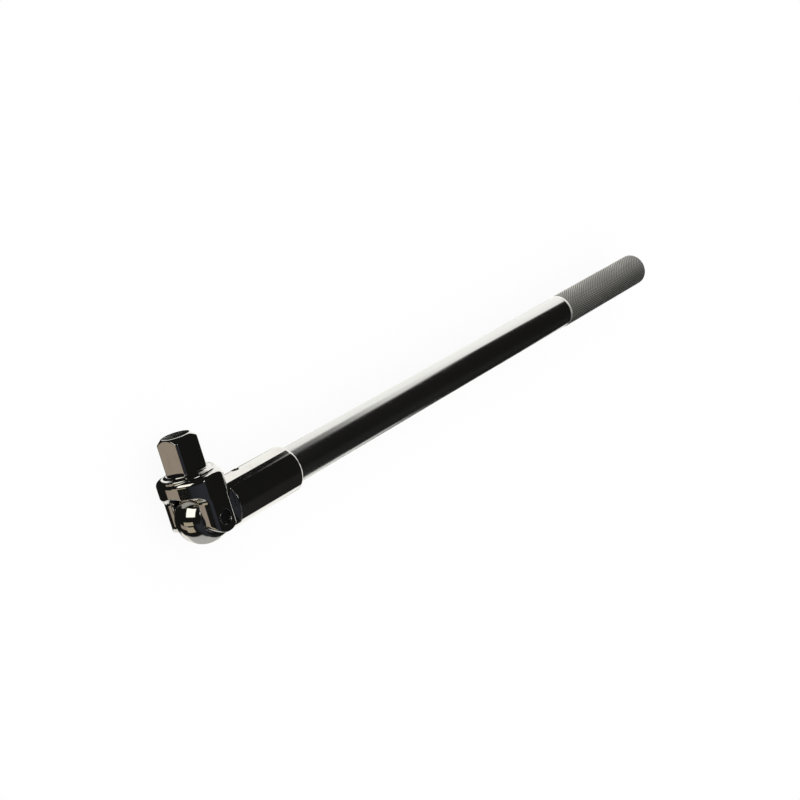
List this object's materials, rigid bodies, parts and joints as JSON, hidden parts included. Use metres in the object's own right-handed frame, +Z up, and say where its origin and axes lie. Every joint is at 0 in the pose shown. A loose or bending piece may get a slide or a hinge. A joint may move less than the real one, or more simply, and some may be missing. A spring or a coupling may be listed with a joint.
{
  "type": "flex-head breaker bar",
  "caption": "Long straight chromed handle with a knurled grip and a pivoting square drive head held in a round-ended neck by a cross pin.",
  "frame": {"origin": "centre of the drive square's flat end face", "axes": "+X along the handle from the head to the grip, +Y out of the drive square's end, +Z up along the pivot pin, with the tool lying on the flat of one ear"},
  "size_m": [0.5648, 0.0716, 0.044],
  "materials": {
    "polished_chrome": "mirror polished chrome plate",
    "satin_chrome": "satin to polished chrome plate, drawn tube",
    "grip_steel": "matt plated steel with a fine diamond knurl",
    "hard_steel": "ground hardened steel",
    "spring_steel": "drawn spring wire, lightly oiled"
  },
  "bodies": {
    "handle": {"neck_socket": "polished_chrome", "socket_plug": "hard_steel", "lock_spring": "spring_steel", "handle_tube": "satin_chrome", "knurled_grip": "grip_steel", "end_plug": "grip_steel"},
    "head": {"drive_head": "polished_chrome", "pivot_pin": "hard_steel", "retaining_spring": "spring_steel", "friction_spring": "spring_steel"},
    "retainer": {"retaining_ball": "hard_steel"},
    "plunger": {"friction_plunger": "hard_steel"},
    "lock": {"lock_ball": "hard_steel"}
  },
  "joints": [
    {"name": "head_pivot", "type": "hinge", "parent": "handle", "child": "head", "pos_m": [0, -0.0542, 0], "axis": [0, 0, -1], "range_deg": [-182, 2]},
    {"name": "retaining_ball_press", "type": "slide", "parent": "head", "child": "retainer", "axis": [0, 0, 1], "range_m": [0, 0.0013], "stiffness_N_per_m": 3000, "deforming": ["retaining_spring"]},
    {"name": "friction_plunger_press", "type": "slide", "parent": "head", "child": "plunger", "axis": [0, 1, 0], "range_m": [0, 0.001], "stiffness_N_per_m": 5000},
    {"name": "lock_ball_press", "type": "slide", "parent": "handle", "child": "lock", "axis": [0, -1, 0], "range_m": [0, 0.0022], "stiffness_N_per_m": 2000}
  ]
}
